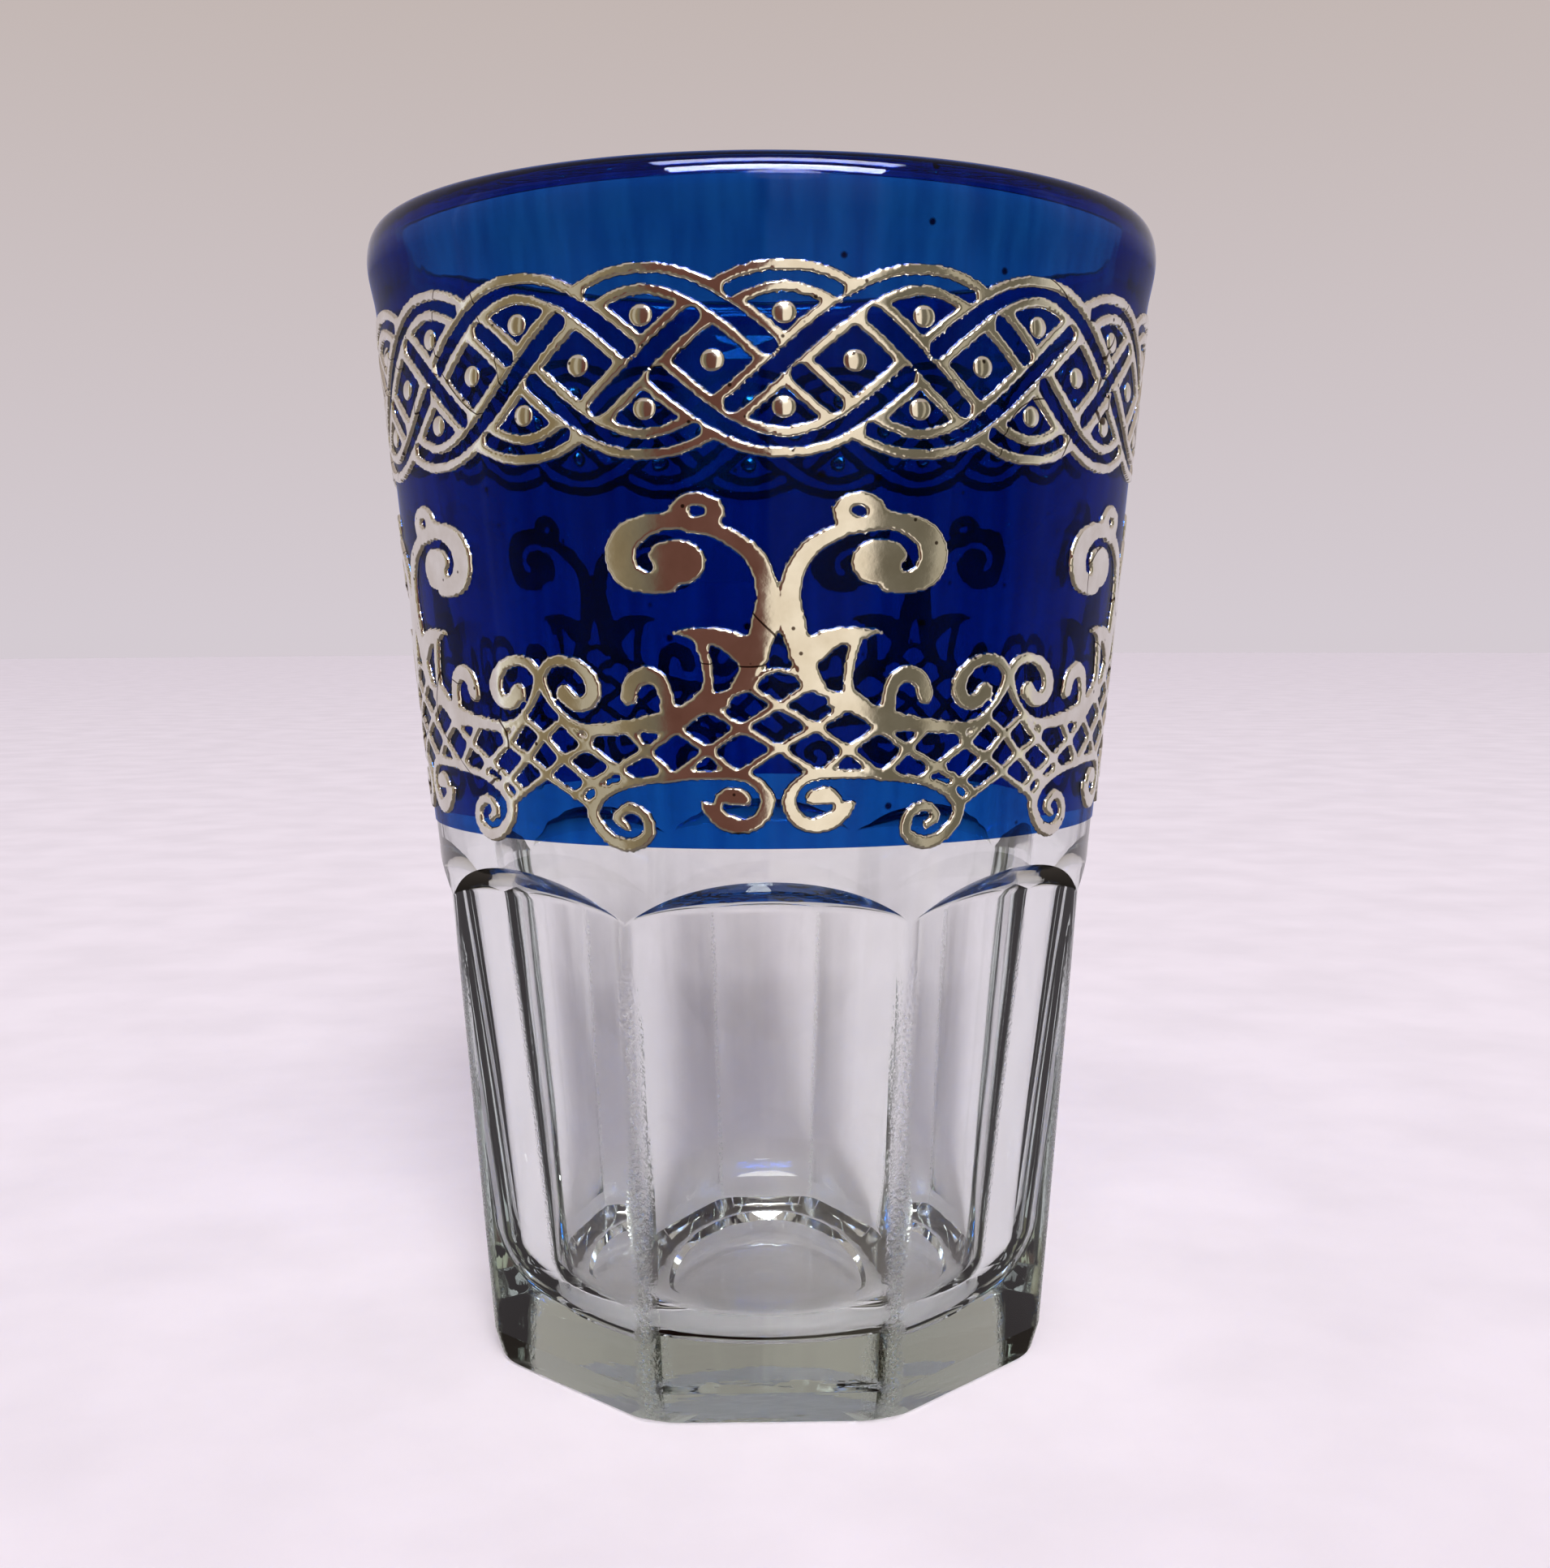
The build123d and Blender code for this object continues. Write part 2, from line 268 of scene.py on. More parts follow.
def spin_outline(name, outline, steps):
    """Object turned about the upright axis from an outline of radius and height."""
    mesh = bpy.data.meshes.new(name)
    count = len(outline)
    mesh.from_pydata([(r, 0, z) for r, z in outline], [(i, i + 1) for i in range(count - 1)], [])
    piece = bpy.data.objects.new(name, mesh)
    scene.collection.objects.link(piece)
    bpy.ops.object.select_all(action="DESELECT")
    piece.select_set(True)
    bpy.context.view_layer.objects.active = piece
    bpy.ops.object.mode_set(mode="EDIT")
    bpy.ops.mesh.select_all(action="SELECT")
    bpy.ops.mesh.spin(steps=steps, angle=2 * math.pi, center=(0, 0, 0), axis=(0, 0, 1))
    bpy.ops.mesh.select_all(action="SELECT")
    bpy.ops.mesh.remove_doubles(threshold=1e-7)
    bpy.ops.mesh.normals_make_consistent(inside=False)
    bpy.ops.object.mode_set(mode="OBJECT")
    return piece


def read_points(piece):
    """The piece's points as rows of x, y, z."""
    points = np.empty(len(piece.data.vertices) * 3)
    piece.data.vertices.foreach_get("co", points)
    return points.reshape(-1, 3)


def write_points(piece, points):
    """Puts the piece's points where the rows say."""
    piece.data.vertices.foreach_set("co", points.ravel())
    piece.data.update()


under = [
    (recess_radius * t, recess_depth * (1 + math.cos(math.pi * t)) / 2)
    for t in np.linspace(0, 1, 12)
]
foot_radius = base_radius - heel_depth
foot = [
    (foot_radius - foot_round * (1 - math.sin(a)), foot_round * (1 - math.cos(a)))
    for a in np.linspace(0, foot_sweep, 6)
]
heel_rows = [heel_height - edge_row, heel_height, heel_height + edge_row]
heel_rows += list(np.linspace(heel_height, arch_low, 10)[1:])
heel_rows += list(np.linspace(arch_low, arch_height, 56)[1:])
heel_rows += [arch_height + edge_row, arch_height + 3 * edge_row]
heel_rows += blend_heights + [arch_high]
heel = [(float(cone_radius(z)), z) for z in heel_rows]
wall_rows = np.linspace(arch_high + wall_margin, flare_height - wall_margin, 8)
wall = [(float(cone_radius(z)), z) for z in wall_rows]
lip = lip_line(0, lip_rows)
mouth_radius = rim_radius - lip_wall
crest_radius = rim_radius - lip_wall / 2
inner_lip = [
    (crest_radius - lip_wall / 2 * math.sin(a),
     rim_height + (glass_height - rim_height) * math.cos(a))
    for a in np.linspace(0, math.pi / 2, 12)[1:]
]
bore_foot_height = floor_height + floor_corner
bore = [
    (mouth_radius + (bore_foot_radius - mouth_radius) * t,
     rim_height + (bore_foot_height - rim_height) * t)
    for t in np.linspace(0, 1, 8)[1:]
]
corner = [
    (bore_foot_radius - floor_corner * (1 - math.cos(a)),
     bore_foot_height - floor_corner * math.sin(a))
    for a in np.linspace(0, math.pi / 2, 14)[1:]
]
step_rows = [
    (edge_row, 0), (0, 0), (-edge_row, edge_row), (edge_row - disc_depth, disc_depth - edge_row),
    (-disc_depth, disc_depth), (-disc_depth - edge_row, disc_depth),
]
disc = [(disc_radius + out, floor_height - drop) for out, drop in step_rows]
bottom = [(r, floor_height - disc_depth) for r in bottom_rings]
outline = under + foot + heel + wall + lip + inner_lip + bore + corner + disc + bottom
glass = spin_outline("pressed_glass", outline, glass_turns)


def flat_reach(z):
    """Distance of a flat cut from the axis at heights z, with the heel below it."""
    ridge_angle = ridge_width / 2 / cone_radius(z)
    flat = cone_radius(z) * np.cos(math.pi / facet_count - ridge_angle)
    return flat - heel_depth * np.clip(1 - z / heel_height, 0, 1)


# The rows under the waist are bent so that one of them runs along the arches. Then the flats are cut, each
# with a cove below its arch and slightly rounded edges.
points = read_points(glass)
radius = np.hypot(points[:, 0], points[:, 1])
angle = np.arctan2(points[:, 0], -points[:, 1])
inside = (radius < bore_share * flat_reach(points[:, 2])) | (points[:, 2] > arch_high)
step = 2 * math.pi / facet_count
off_middle = (angle + step / 2) % step - step / 2
across = flat_reach(np.full(len(points), arch_low)) * np.tan(off_middle)
arch = arch_height - arch_radius + np.sqrt(arch_radius**2 - across**2)
z = points[:, 2]
lowered = arch_low + (z - arch_low) * (arch - arch_low) / (arch_height - arch_low)
raised = arch + (z - arch_height) * (arch_high - arch) / (arch_high - arch_height)
z = np.where(inside | (z < arch_low), z, np.where(z < arch_height, lowered, raised))
blank = np.where(inside, radius, radius + cone_radius(z) - cone_radius(points[:, 2]))
cut = flat_reach(z) / np.cos(off_middle)
gap = np.maximum(blank - cut, 0)
below_arch = np.clip((arch - z) / np.maximum(cove_share * gap, 1e-6), 0, 1)
cut = cut + gap * (1 - below_arch) ** 2
eased = (blank + cut - np.sqrt((blank - cut) ** 2 + edge_softness**2)) / 2
eased = np.where(z > arch - edge_row / 2, blank, eased)
scale = np.where(inside, 1, eased / np.maximum(radius, 1e-9))
points[:, 0] *= scale
points[:, 1] *= scale
points[:, 2] = z
write_points(glass, points)
bpy.ops.object.shade_smooth_by_angle(angle=crease_angle)
ridge_gap = (step / 2 - np.abs(off_middle)) * radius
scuffed = np.clip(scuff_full - scuff_fall * ridge_gap / ridge_width, 0, 1)
scuffed *= np.clip((scuff_top - points[:, 2]) / scuff_fade, 0, 1)
wear = glass.data.attributes.new("wear", "FLOAT", "POINT")
wear.data.foreach_set("value", np.where(inside, 0, scuffed))

clear_glass = bpy.data.materials.new("clear_pressed_glass")
clear_glass.use_nodes = True
nodes, links = clear_glass.node_tree.nodes, clear_glass.node_tree.links
shader = nodes["Principled BSDF"]
shader.inputs["Base Color"].default_value = (0.94, 0.95, 0.945, 1)
shader.inputs["IOR"].default_value = 1.5
shader.inputs["Transmission Weight"].default_value = 1.0
place = nodes.new("ShaderNodeTexCoord")
stretch = nodes.new("ShaderNodeMapping")
stretch.inputs["Scale"].default_value = (1, 1, 0.12)
flow = nodes.new("ShaderNodeTexNoise")
flow.inputs["Scale"].default_value = 320
flow.inputs["Detail"].default_value = 2
wave = nodes.new("ShaderNodeBump")
wave.inputs["Strength"].default_value = 0.12
wave.inputs["Distance"].default_value = 0.0002
links.new(place.outputs["Object"], stretch.inputs["Vector"])
links.new(stretch.outputs["Vector"], flow.inputs["Vector"])
links.new(flow.outputs["Fac"], wave.inputs["Height"])
ridges = nodes.new("ShaderNodeAttribute")
ridges.attribute_name = "wear"
grain = nodes.new("ShaderNodeTexNoise")
grain.inputs["Scale"].default_value = 3200
grain.inputs["Detail"].default_value = 3
worn = nodes.new("ShaderNodeMath")
worn.operation = "MULTIPLY"
frost = nodes.new("ShaderNodeMapRange")
frost.inputs["To Max"].default_value = 0.5
scuff = nodes.new("ShaderNodeBump")
scuff.inputs["Strength"].default_value = 0.6
scuff.inputs["Distance"].default_value = 0.0002
links.new(place.outputs["Object"], grain.inputs["Vector"])
links.new(ridges.outputs["Fac"], worn.inputs[0])
links.new(grain.outputs["Fac"], worn.inputs[1])
links.new(worn.outputs["Value"], frost.inputs["Value"])
links.new(frost.outputs["Result"], shader.inputs["Roughness"])
links.new(worn.outputs["Value"], scuff.inputs["Height"])
links.new(wave.outputs["Normal"], scuff.inputs["Normal"])
links.new(scuff.outputs["Normal"], shader.inputs["Normal"])
depth_tint = nodes.new("ShaderNodeVolumeAbsorption")
depth_tint.inputs["Color"].default_value = (0.73, 0.785, 0.76, 1)
depth_tint.inputs["Density"].default_value = 50
links.new(depth_tint.outputs["Volume"], nodes["Material Output"].inputs["Volume"])
glass.data.materials.append(clear_glass)
bpy.data.collections["window_lit"].objects.link(glass)
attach(glass, "root")
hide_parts("glass_body")

# Blue coat: a see-through cobalt film fired onto the outside of the glass, from a straight edge above the
# arches to the crest of the lip. Brushing left faint upright streaks and a few dark specks in it.
coat_edge_height = 0.0460
coat_skin, coat_clearance = 0.0001, 0.00002
coat_turns, coat_rows = 256, 10


def coat_line(skin):
    """One face of the coat from its lower edge to the crest, that far off the glass."""
    heights = np.linspace(coat_edge_height, flare_height, coat_rows)[:-1]
    cone = [(float(cone_radius(z)) + skin, z) for z in heights]
    return cone + lip_line(skin, lip_rows)


outer, inner = coat_line(coat_skin), coat_line(coat_clearance)
coat = spin_outline("cobalt_film", outer + inner[::-1] + outer[:1], coat_turns)
bpy.ops.object.shade_smooth_by_angle(angle=crease_angle)

cobalt = bpy.data.materials.new("cobalt_coat")
cobalt.use_nodes = True
nodes, links = cobalt.node_tree.nodes, cobalt.node_tree.links
shader = nodes["Principled BSDF"]
shader.inputs["Roughness"].default_value = 0.0
shader.inputs["IOR"].default_value = 1.0
shader.inputs["Transmission Weight"].default_value = 1.0
shader.inputs["Coat Roughness"].default_value = 0.04
shader.inputs["Coat IOR"].default_value = 1.2
place = nodes.new("ShaderNodeTexCoord")
stretch = nodes.new("ShaderNodeMapping")
stretch.inputs["Scale"].default_value = (1, 1, 0.03)
streaks = nodes.new("ShaderNodeTexNoise")
streaks.inputs["Scale"].default_value = 700
streaks.inputs["Detail"].default_value = 3
blue = nodes.new("ShaderNodeValToRGB")
blue.color_ramp.elements[0].position = 0.3
blue.color_ramp.elements[0].color = (0.004, 0.070, 0.37, 1)
blue.color_ramp.elements[1].position = 0.7
blue.color_ramp.elements[1].color = (0.008, 0.115, 0.48, 1)
specks = nodes.new("ShaderNodeTexVoronoi")
specks.inputs["Scale"].default_value = 260
speck_size = nodes.new("ShaderNodeMapRange")
speck_size.inputs["From Min"].default_value = 0.05
speck_size.inputs["From Max"].default_value = 0.085
speck_tone = nodes.new("ShaderNodeMix")
speck_tone.data_type = "RGBA"
speck_tone.inputs["A"].default_value = (0.002, 0.006, 0.05, 1)
wave = nodes.new("ShaderNodeBump")
wave.inputs["Strength"].default_value = 0.1
wave.inputs["Distance"].default_value = 0.0001
links.new(place.outputs["Object"], stretch.inputs["Vector"])
links.new(stretch.outputs["Vector"], streaks.inputs["Vector"])
links.new(streaks.outputs["Fac"], blue.inputs["Fac"])
links.new(place.outputs["Object"], specks.inputs["Vector"])
links.new(specks.outputs["Distance"], speck_size.inputs["Value"])
links.new(speck_size.outputs["Result"], speck_tone.inputs["Factor"])
links.new(blue.outputs["Color"], speck_tone.inputs["B"])
links.new(speck_tone.outputs["Result"], shader.inputs["Base Color"])
links.new(streaks.outputs["Fac"], wave.inputs["Height"])
links.new(wave.outputs["Normal"], shader.inputs["Coat Normal"])
split = nodes.new("ShaderNodeSeparateXYZ")
gloss = nodes.new("ShaderNodeMapRange")
gloss.inputs["From Min"].default_value = 0.0910
gloss.inputs["From Max"].default_value = 0.0925
gloss.inputs["To Min"].default_value = 0.4
links.new(place.outputs["Object"], split.inputs["Vector"])
links.new(split.outputs["Z"], gloss.inputs["Value"])
links.new(gloss.outputs["Result"], shader.inputs["Coat Weight"])
coat.data.materials.append(cobalt)
bpy.data.collections["lip_lit"].objects.link(coat)
bpy.data.collections["window_lit"].objects.link(coat)
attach(coat, "root")
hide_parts("blue_coat")

# Braid band: four flat strands plaited round the glass below the lip, printed in pale metal paste and
# fired, so the edges are rounded and a little ragged. Each strand is two lines with a slot between them,
# cut where it passes under another.
mm = 0.001
braid_height = 80.78 * mm
braid_turn = math.radians(2.07)
strand_swing, strand_half_width = 5.65 * mm, 1.13 * mm
strand_swell, line_width = 0.32 * mm, 0.86 * mm
strand_count, strand_waves, strand_step = 4, 5, 18.0
repeat_count, repeat_angle, overlap_angle = 5, 72.0, 6
points_per_degree = 1.5
relief_height, relief_round, relief_sink = 0.24 * mm, 0.30 * mm, 0.03 * mm
grid_step = 0.125 * mm
ragged, ragged_scale, ragged_plane = 0.10 * mm, 2900, 0.3
seam_fade, stroke_margin = 1.5 * mm, 1.2 * mm
gentlest = 0.25
relief_crease = math.radians(55)
under_end, middle_end = 2.47, 1.96
slots = [
    (0, -9, 9), (0, 9, 27), (0, 27, 45), (0, 45, 63),
    (1, 63, 99), (1, 27, 36), (1, 36, 63),
    (2, 18, 54), (2, 54, 90),
    (3, 45, 72), (3, 72, 81), (3, 9, 45),
]


def stroke_depth(x, y, line, half_widths):
    """How deep points lie inside a stroke along a line, negative outside it."""
    depth = np.full(x.shape, -1.0)
    for (x0, y0), (x1, y1), w0, w1 in zip(line[:-1], line[1:], half_widths[:-1], half_widths[1:]):
        reach = max(w0, w1) + stroke_margin
        near = (x > min(x0, x1) - reach) & (x < max(x0, x1) + reach)
        near &= (y > min(y0, y1) - reach) & (y < max(y0, y1) + reach)
        length = max((x1 - x0) ** 2 + (y1 - y0) ** 2, 1e-18)
        along = np.clip(((x[near] - x0) * (x1 - x0) + (y[near] - y0) * (y1 - y0)) / length, 0, 1)
        gap = np.hypot(x[near] - x0 - along * (x1 - x0), y[near] - y0 - along * (y1 - y0))
        depth[near] = np.maximum(depth[near], w0 + (w1 - w0) * along - gap)
    return depth


def raise_relief(name, width, low, high, depth_at, wrap_radius, turn):
    """One repeat of raised metal: a grid trimmed to the drawing, thickened, rounded and laid on the coat."""
    columns, rows = round(width / grid_step), round((high - low) / grid_step)
    bpy.ops.object.select_all(action="DESELECT")
    bpy.ops.mesh.primitive_grid_add(x_subdivisions=columns, y_subdivisions=rows, size=2)
    piece = bpy.context.object
    piece.name = piece.data.name = name
    points = read_points(piece)
    points[:, 0] *= width / 2
    points[:, 1] = (low + high) / 2 + points[:, 1] * (high - low) / 2

    def ragged_depth(x, y):
        spots = zip(x * ragged_scale, y * ragged_scale)
        grain = np.array([noise.noise((u, v, ragged_plane)) for u, v in spots])
        fade = np.clip((width / 2 - np.abs(x)) / seam_fade, 0, 1)
        return depth_at(x, y) + ragged * grain * fade

    depth = ragged_depth(points[:, 0], points[:, 1])
    write_points(piece, points)
    bpy.ops.object.mode_set(mode="EDIT")
    bpy.ops.mesh.select_mode(type="VERT")
    bpy.ops.mesh.select_all(action="DESELECT")
    bpy.ops.object.mode_set(mode="OBJECT")
    piece.data.vertices.foreach_set("select", depth < -0.5 * grid_step)
    bpy.ops.object.mode_set(mode="EDIT")
    # The waste goes first, then loose ends and points at which two corners only touch.
    for _ in range(3):
        bpy.ops.mesh.delete(type="VERT")
        bpy.ops.mesh.select_all(action="SELECT")
        bpy.ops.mesh.delete_loose(use_verts=True, use_edges=True, use_faces=False)
        bpy.ops.mesh.select_all(action="DESELECT")
        bpy.ops.mesh.select_non_manifold(
            use_wire=False, use_boundary=False, use_multi_face=False, use_non_contiguous=False,
        )
    bpy.ops.mesh.select_all(action="DESELECT")
    bpy.ops.mesh.select_non_manifold()
    bpy.ops.object.mode_set(mode="OBJECT")

    edge = np.empty(len(piece.data.vertices), dtype=bool)
    piece.data.vertices.foreach_get("select", edge)
    points = read_points(piece)
    edge &= np.abs(points[:, 0]) < width / 2 - 1e-7
    probe = 0.02 * mm
    # The stepped edge is drawn onto the outline in three moves.
    for _ in range(3):
        x, y = points[edge, 0], points[edge, 1]
        here = ragged_depth(x, y)
        slope_x = (ragged_depth(x + probe, y) - ragged_depth(x - probe, y)) / (2 * probe)
        slope_y = (ragged_depth(x, y + probe) - ragged_depth(x, y - probe)) / (2 * probe)
        steep = np.maximum(slope_x**2 + slope_y**2, gentlest)
        shift = np.clip(here / steep, -grid_step, grid_step)
        points[edge, 0] -= shift * slope_x
        points[edge, 1] -= shift * slope_y
    depth = ragged_depth(points[:, 0], points[:, 1])
    depth[edge] = 0
    rounding = np.clip(1 - depth / relief_round, 0, 1)
    rise = relief_height * np.cbrt(1 - rounding**3)
    write_points(piece, points)

    flat_count = len(points)
    bpy.ops.object.mode_set(mode="EDIT")
    bpy.ops.mesh.select_all(action="SELECT")
    bpy.ops.mesh.extrude_region()
    bpy.ops.object.mode_set(mode="OBJECT")
    points = read_points(piece)
    top = np.empty(len(points), dtype=bool)
    piece.data.vertices.foreach_get("select", top)
    places = [(round(x * 1e9), round(y * 1e9)) for x, y, _ in points]
    lookup = dict(zip(places[:flat_count], rise))
    lift = np.full(len(points), -relief_sink)
    lift[top] = [lookup[places[i]] for i in np.flatnonzero(top)]
    around = points[:, 0] / wrap_radius + turn
    out = cone_radius(points[:, 1]) + coat_skin + lift
    wrapped = np.column_stack((out * np.sin(around), -out * np.cos(around), points[:, 1]))
    write_points(piece, wrapped)
    bpy.ops.object.mode_set(mode="EDIT")
    bpy.ops.mesh.select_all(action="SELECT")
    bpy.ops.mesh.normals_make_consistent(inside=False)
    bpy.ops.object.mode_set(mode="OBJECT")
    bpy.ops.object.shade_smooth_by_angle(angle=relief_crease)
    return piece


braid_radius = float(cone_radius(np.array(braid_height))) + coat_skin


def strand_line(strand, start, end):
    """Middle line and half widths of a strand between two angles, on the unrolled coat."""
    angles = np.linspace(start, end, max(8, round(abs(end - start) * points_per_degree)))
    phase = np.radians(strand_waves * (angles - strand * strand_step))
    heights = braid_height + strand_swing * np.cos(phase)
    line = np.column_stack((np.radians(angles) * braid_radius, heights))
    return line, strand_half_width + strand_swell * np.abs(np.sin(phase))


def braid_depth(x, y):
    """How deep points lie inside the plaited strands, with their slots left open."""
    depth = np.full(x.shape, -1.0)
    reach = repeat_angle / 2 + overlap_angle
    for strand in range(strand_count):
        line, half_widths = strand_line(strand, -reach, reach)
        depth = np.maximum(depth, stroke_depth(x, y, line, half_widths))
    for strand, start, end in slots:
        ease = [middle_end if bound % strand_step == 0 else under_end for bound in (start, end)]
        for lap in (-repeat_angle, 0, repeat_angle):
            line, half_widths = strand_line(strand, start + ease[0] + lap, end - ease[1] + lap)
            depth = np.minimum(depth, -stroke_depth(x, y, line, half_widths - line_width))
    return depth


braid = raise_relief(
    "braid_band_1", math.radians(repeat_angle) * braid_radius,
    braid_height - strand_swing - strand_half_width - 2 * grid_step,
    braid_height + strand_swing + strand_half_width + 2 * grid_step,
    braid_depth, braid_radius, braid_turn,
)

pale_metal = bpy.data.materials.new("fired_pale_metal")
pale_metal.use_nodes = True
nodes, links = pale_metal.node_tree.nodes, pale_metal.node_tree.links
shader = nodes["Principled BSDF"]
shader.inputs["Metallic"].default_value = 1.0
place = nodes.new("ShaderNodeTexCoord")
cloud = nodes.new("ShaderNodeTexNoise")
cloud.inputs["Scale"].default_value = 420
cloud.inputs["Detail"].default_value = 5
tone = nodes.new("ShaderNodeValToRGB")
tone.color_ramp.elements[0].position = 0.3
tone.color_ramp.elements[0].color = (0.72, 0.68, 0.60, 1)
tone.color_ramp.elements[1].position = 0.7
tone.color_ramp.elements[1].color = (0.86, 0.84, 0.78, 1)
pits = nodes.new("ShaderNodeTexVoronoi")
pits.inputs["Scale"].default_value = 560
pit_size = nodes.new("ShaderNodeMapRange")
pit_size.inputs["From Min"].default_value = 0.06
pit_size.inputs["From Max"].default_value = 0.10
drift = nodes.new("ShaderNodeTexNoise")
drift.inputs["Scale"].default_value = 70
drift.inputs["Detail"].default_value = 1
crossing = nodes.new("ShaderNodeMath")
crossing.operation = "SUBTRACT"
crossing.inputs[1].default_value = 0.6
nearness = nodes.new("ShaderNodeMath")
nearness.operation = "ABSOLUTE"
scratch = nodes.new("ShaderNodeMapRange")
scratch.inputs["From Min"].default_value = 0.0015
scratch.inputs["From Max"].default_value = 0.003
marks = nodes.new("ShaderNodeMath")
marks.operation = "MINIMUM"
worn = nodes.new("ShaderNodeMix")
worn.data_type = "RGBA"
worn.inputs["A"].default_value = (0.10, 0.075, 0.06, 1)
satin = nodes.new("ShaderNodeMapRange")
satin.inputs["To Min"].default_value = 0.04
satin.inputs["To Max"].default_value = 0.15
dents = nodes.new("ShaderNodeBump")
dents.inputs["Strength"].default_value = 0.11
dents.inputs["Distance"].default_value = 0.0002
links.new(place.outputs["Object"], cloud.inputs["Vector"])
links.new(cloud.outputs["Fac"], tone.inputs["Fac"])
links.new(place.outputs["Object"], pits.inputs["Vector"])
links.new(pits.outputs["Distance"], pit_size.inputs["Value"])
links.new(place.outputs["Object"], drift.inputs["Vector"])
links.new(drift.outputs["Fac"], crossing.inputs[0])
links.new(crossing.outputs["Value"], nearness.inputs[0])
links.new(nearness.outputs["Value"], scratch.inputs["Value"])
links.new(pit_size.outputs["Result"], marks.inputs[0])
links.new(scratch.outputs["Result"], marks.inputs[1])
links.new(marks.outputs["Value"], worn.inputs["Factor"])
links.new(tone.outputs["Color"], worn.inputs["B"])
links.new(worn.outputs["Result"], shader.inputs["Base Color"])
links.new(cloud.outputs["Fac"], satin.inputs["Value"])
links.new(satin.outputs["Result"], shader.inputs["Roughness"])
links.new(cloud.outputs["Fac"], dents.inputs["Height"])
links.new(dents.outputs["Normal"], shader.inputs["Normal"])


def set_round(first, node):
    """Finishes a repeat in metal and copies it round the glass."""
    first.data.materials.append(pale_metal)
    ring = [first]
    for i in range(1, repeat_count):
        copy = first.copy()
        copy.data = first.data.copy()
        copy.name = copy.data.name = f"{node}_{i + 1}"
        copy.data.transform(Matrix.Rotation(math.radians(repeat_angle * i), 4, "Z"))
        scene.collection.objects.link(copy)
        ring.append(copy)
    for piece in ring:
        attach(piece, "root")
        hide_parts(node)


set_round(braid, "braid_band")

# Braid dots: a small raised drop of the same metal in each of the sixty windows of the braid, printed and
# fired with the band.
dot_half_width, dot_half_length = 0.90 * mm, 0.82 * mm
dot_offset = 3.2 * mm
dot_segments, dot_rings = 20, 10
windows_round = strand_count * strand_waves
window_rows = [(0, dot_offset), (0, -dot_offset), (strand_step / 2, 0)]
bpy.ops.object.select_all(action="DESELECT")
for angle, rise in window_rows:
    for i in range(windows_round):
        around = math.radians(angle + strand_step * i) + braid_turn
        out = float(cone_radius(np.array(braid_height + rise))) + coat_skin - relief_sink
        bpy.ops.mesh.primitive_uv_sphere_add(
            segments=dot_segments, ring_count=dot_rings, radius=1,
            location=(out * math.sin(around), -out * math.cos(around), braid_height + rise),
            rotation=(0, 0, around),
            scale=(dot_half_width, relief_height + relief_sink, dot_half_length),
        )
        bpy.context.object.name = f"dot_{angle}_{rise:.4f}_{i}"
for piece in scene.objects:
    piece.select_set(piece.name.startswith("dot_"))
bpy.ops.object.join()
dots = bpy.context.object
dots.name = dots.data.name = "braid_drops"
bpy.ops.object.transform_apply(location=True, rotation=True, scale=True)
bpy.ops.object.shade_smooth()
dots.data.materials.append(pale_metal)
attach(dots, "root")
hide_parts("braid_dots")

# Scroll band: a fret of lyres, curls and crossed lattice over the coat's lower edge, five times round, in
# the same printed and fired metal. Each repeat is a drawing and its mirror image.
scroll_turn = math.radians(1.40)
fillet = 0.3 * mm
scroll_middle, scroll_below, scroll_above = 60 * mm, 0.8 * mm, 26.2 * mm
scroll_radius = float(cone_radius(np.array(scroll_middle))) + coat_skin
thinnest, span_points = 0.05 * mm, 8
# Stations are the angle from the axis of the repeat in degrees, the rise above the coat's edge in mm and the
# width in mm.
lyre = [
    (9.8, 11.35, 0.6), (8.2, 11.3, 0.6), (6.6, 11.45, 0.85), (5.2, 12.1, 1.35), (3.9, 13.3, 1.6),
    (2.9, 14.7, 1.8), (1.7, 16.6, 2.2), (1.4, 18.2, 1.85), (2.15, 20.1, 1.6), (3.7, 21.5, 1.5),
    (6.0, 22.4, 1.35), (9.0, 23.15, 1.25), (13.0, 23.7, 1.35), (17.0, 23.55, 1.6),
    (20.4, 22.7, 2.15), (21.6, 21.3, 2.45), (20.6, 20.0, 2.2), (18.0, 19.4, 1.7), (15.2, 19.5, 1.9),
]
nose = [(14.0, 21.5, 1.7), (15.6, 21.6, 1.5), (16.8, 21.3, 1.0)]
leaf = [
    (3.0, 14.2, 1.9), (4.6, 14.45, 2.1), (6.4, 15.05, 1.85), (8.2, 15.45, 1.45), (9.6, 15.6, 1.3),
    (11.5, 15.7, 1.05), (13.2, 15.8, 0.6), (14.5, 15.75, 0.15),
]
leaf_bar = [
    (10.7, 15.1, 1.0), (10.1, 14.0, 0.95), (9.75, 12.6, 0.9), (9.9, 11.6, 1.0), (10.6, 10.9, 1.3),
]
hook = [
    (13.5, 9.6, 1.3), (15.4, 10.2, 1.4), (15.8, 11.2, 1.25), (16.6, 12.3, 1.3), (18.6, 12.75, 1.4),
    (20.6, 12.2, 1.5), (21.3, 11.2, 1.5),
]
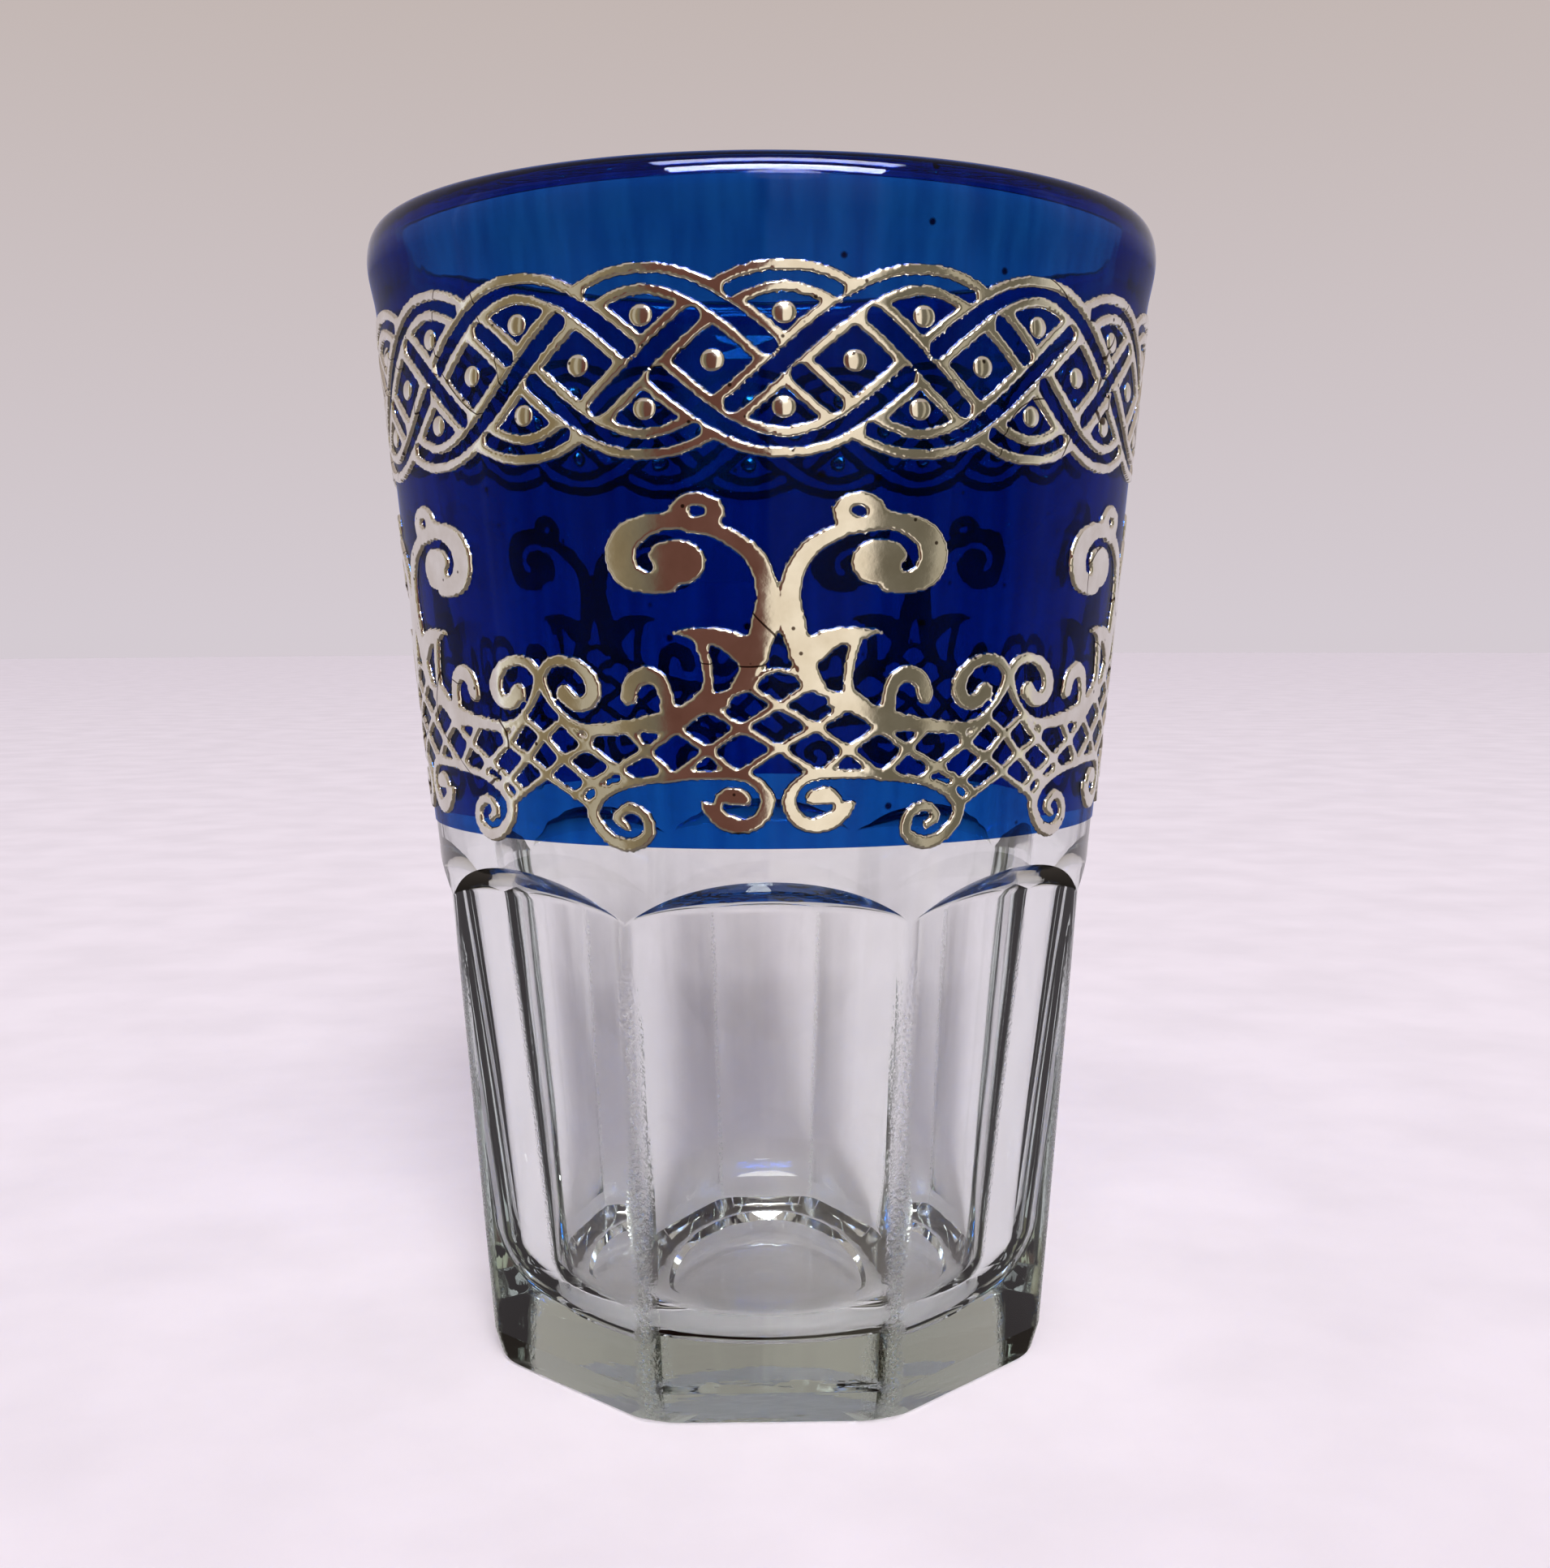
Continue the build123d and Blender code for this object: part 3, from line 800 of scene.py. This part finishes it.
top_rail = [
    (7.4, 10.7, 0.85), (9.0, 10.65, 1.1), (11.0, 10.55, 1.65), (13.0, 9.9, 1.5), (15.0, 9.4, 1.6),
    (17.0, 9.25, 1.6), (19.0, 9.15, 1.35), (21.5, 8.95, 1.25), (24.5, 8.8, 1.15), (27.0, 8.7, 1.0),
    (29.0, 8.85, 0.75), (31.2, 9.3, 0.65), (33.2, 10.1, 0.65), (34.6, 11.0, 0.8), (35.6, 12.0, 1.0),
]
curl = [
    (36.2, 12.2, 1.1), (35.4, 12.9, 1.0), (33.8, 13.6, 1.0), (31.5, 13.75, 0.95),
    (29.0, 13.35, 1.1), (27.2, 12.4, 1.35), (26.9, 11.4, 1.45), (28.3, 10.6, 1.3),
    (30.2, 10.7, 1.4), (31.6, 11.3, 1.6),
]
centre_scroll = [
    (17.0, 5.25, 0.75), (11.0, 5.45, 0.8), (6.5, 5.45, 0.8), (4.0, 5.2, 0.9), (2.3, 4.5, 1.05),
    (1.5, 3.5, 1.25), (2.4, 2.4, 1.25), (4.5, 1.75, 1.25), (7.5, 2.0, 1.5), (9.6, 2.75, 1.3),
    (10.9, 3.35, 0.5),
]
centre_curl = [
    (8.9, 3.0, 0.8), (8.2, 3.75, 1.0), (6.9, 3.95, 1.4), (5.4, 3.85, 1.35), (4.7, 3.7, 1.0),
]
side_scroll = [
    (15.0, 5.3, 0.75), (21.0, 4.85, 0.75), (25.8, 4.0, 1.0), (28.1, 2.5, 1.2), (26.0, 0.8, 1.15),
    (22.5, 0.15, 1.15), (19.3, 0.9, 1.1), (19.6, 2.3, 1.0), (22.2, 2.95, 0.9), (24.1, 2.1, 0.9),
    (22.6, 1.5, 0.7),
]
foot_rail = [(28.6, 3.0, 0.65), (32.0, 4.0, 0.65), (36.5, 5.2, 0.65)]
foot_arch = [(0.0, 13.15, 0.5), (2.2, 12.8, 0.55), (3.7, 11.9, 0.6)]
ribbons = [
    lyre, nose, leaf, leaf_bar, hook, top_rail, curl,
    centre_scroll, centre_curl, side_scroll, foot_rail, foot_arch,
]
lattice_width = 0.72
lattice = [
    [(0, 10.55), (4.6, 12.0)],
    [(0, 10.55), (5.2, 8.95), (10, 7.25), (14.2, 5.6)],
    [(0, 7.4), (5.2, 8.95), (9.5, 10.3)],
    [(0, 7.4), (5.4, 5.6)],
    [(6.2, 5.6), (10, 7.25), (14.5, 8.8)],
    [(14.5, 8.8), (18.9, 7.2), (23.8, 5.85), (28.1, 4.65), (31, 3.7)],
    [(15.6, 5.5), (18.9, 7.2), (21.2, 8.4)],
    [(21.8, 5.1), (23.8, 5.85), (28.5, 7.45), (32, 9.0)],
    [(27.3, 8.6), (28.5, 7.45), (32.6, 6.4), (36, 5.25)],
    [(26.2, 4.2), (28.1, 4.65), (32.6, 6.4), (36, 8.1)],
    [(32.2, 9.4), (36, 8.1)],
]
head = (13.3, 20.8, 3.9, 3.3)
eyelet = (10.8, 24.3, 4.0, 3.0)
eyelet_hole = (10.8, 24.4, 0.95, 0.65)


def unrolled(stations):
    """Points of the drawing on the unrolled coat, in metres."""
    return np.array([
        (math.radians(s[0]) * scroll_radius, coat_edge_height + s[1] * mm) for s in stations
    ])


def flowing(stations):
    """Smooth line and half widths through the stations of a ribbon."""
    knots = np.column_stack((unrolled(stations), [s[2] * mm / 2 for s in stations]))
    padded = np.vstack((2 * knots[0] - knots[1], knots, 2 * knots[-1] - knots[-2]))
    t = np.linspace(0, 1, span_points + 1)[:-1, None]
    runs = []
    for a, b, c, d in zip(padded[:-3], padded[1:-2], padded[2:-1], padded[3:]):
        bend = 2 * a - 5 * b + 4 * c - d + t * (3 * (b - c) + d - a)
        runs.append(b + 0.5 * t * (c - a + t * bend))
    line = np.vstack(runs + [knots[-1:]])
    return line[:, :2], np.maximum(line[:, 2], thinnest)


def oval_depth(x, y, oval):
    """How deep points lie inside an oval, negative outside it."""
    middle = unrolled([oval])[0]
    half = np.array(oval[2:]) * mm / 2
    return (1 - np.hypot((x - middle[0]) / half[0], (y - middle[1]) / half[1])) * half.min()


def merged(a, b):
    """Union of two depths with a small fillet where the shapes meet."""
    return np.maximum(a, b) + np.maximum(fillet - np.abs(a - b), 0) ** 2 / (4 * fillet)


ribbon_lines = [flowing(stations) for stations in ribbons]
lattice_lines = [(unrolled(nodes), [lattice_width * mm / 2] * len(nodes)) for nodes in lattice]


def scroll_depth(x, y):
    """How deep points lie inside the scroll drawing and its mirror image."""
    x = np.abs(x)
    depth = oval_depth(x, y, head)
    for line, half_widths in ribbon_lines + lattice_lines:
        depth = merged(depth, stroke_depth(x, y, line, half_widths))
    depth = merged(depth, oval_depth(x, y, eyelet))
    return np.minimum(depth, -oval_depth(x, y, eyelet_hole))


scroll = raise_relief(
    "scroll_band_1", math.radians(repeat_angle) * scroll_radius,
    coat_edge_height - scroll_below, coat_edge_height + scroll_above,
    scroll_depth, scroll_radius, scroll_turn,
)
set_round(scroll, "scroll_band")
